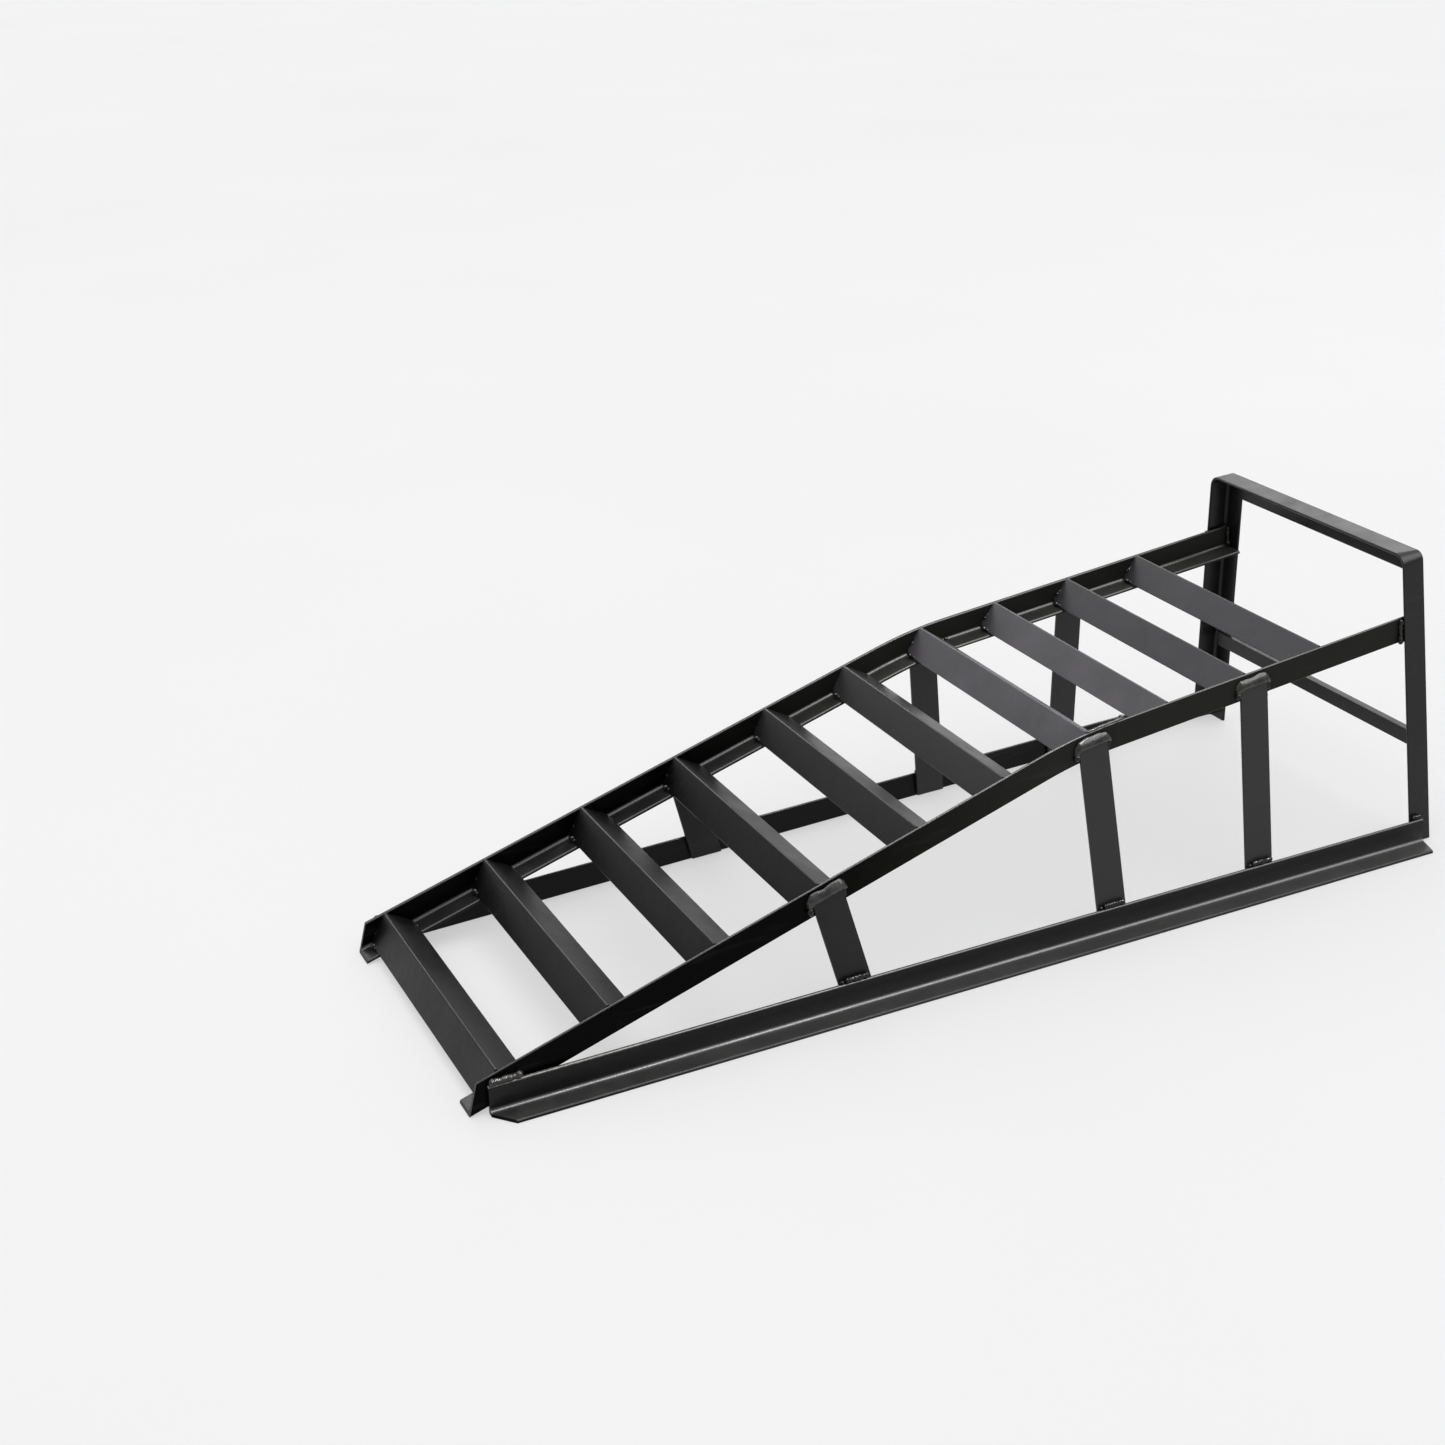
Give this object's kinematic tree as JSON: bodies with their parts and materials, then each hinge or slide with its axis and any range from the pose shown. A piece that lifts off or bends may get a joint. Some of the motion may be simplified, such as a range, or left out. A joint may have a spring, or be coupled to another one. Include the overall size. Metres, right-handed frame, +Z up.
{
  "type": "vehicle service ramp",
  "caption": "Welded steel angle car ramp with a sloping ladder of inverted-angle treads, a raised platform, splayed floor angles and a hoop wheel stop.",
  "frame": {"origin": "on the floor, at the middle of the bounding box", "axes": "+X along the ramp, up the slope towards the wheel stop; +Y to the left of a driver going up; +Z up"},
  "size_m": [0.961, 0.405, 0.2865],
  "materials": {
    "satin_black_paint": "satin black paint",
    "painted_weld": "gloss black paint over a rippled weld bead"
  },
  "bodies": {
    "root": {"base_angle_left": "satin_black_paint", "base_angle_right": "satin_black_paint", "cross_bar_weld_left": "painted_weld", "cross_bar_weld_right": "painted_weld", "entry_angle": "satin_black_paint", "hoop_foot_weld_left": "painted_weld", "hoop_foot_weld_right": "painted_weld", "hoop_inner_weld_left": "painted_weld", "hoop_inner_weld_right": "painted_weld", "hoop_outer_weld_left": "painted_weld", "hoop_outer_weld_right": "painted_weld", "nose_weld_left": "painted_weld", "nose_weld_right": "painted_weld", "rear_cross_bar": "satin_black_paint", "side_rail_left": "satin_black_paint", "side_rail_right": "satin_black_paint", "tread_1": "satin_black_paint", "tread_2": "satin_black_paint", "tread_3": "satin_black_paint", "tread_4": "satin_black_paint", "tread_5": "satin_black_paint", "tread_6": "satin_black_paint", "tread_7": "satin_black_paint", "tread_8": "satin_black_paint", "tread_9": "satin_black_paint", "upright_foot_weld_left_1": "painted_weld", "upright_foot_weld_left_2": "painted_weld", "upright_foot_weld_left_3": "painted_weld", "upright_foot_weld_right_1": "painted_weld", "upright_foot_weld_right_2": "painted_weld", "upright_foot_weld_right_3": "painted_weld", "upright_head_weld_left_1": "painted_weld", "upright_head_weld_left_2": "painted_weld", "upright_head_weld_left_3": "painted_weld", "upright_head_weld_right_1": "painted_weld", "upright_head_weld_right_2": "painted_weld", "upright_head_weld_right_3": "painted_weld", "upright_left_1": "satin_black_paint", "upright_left_2": "satin_black_paint", "upright_left_3": "satin_black_paint", "upright_right_1": "satin_black_paint", "upright_right_2": "satin_black_paint", "upright_right_3": "satin_black_paint", "wheel_stop_hoop": "satin_black_paint"}
  },
  "joints": []
}
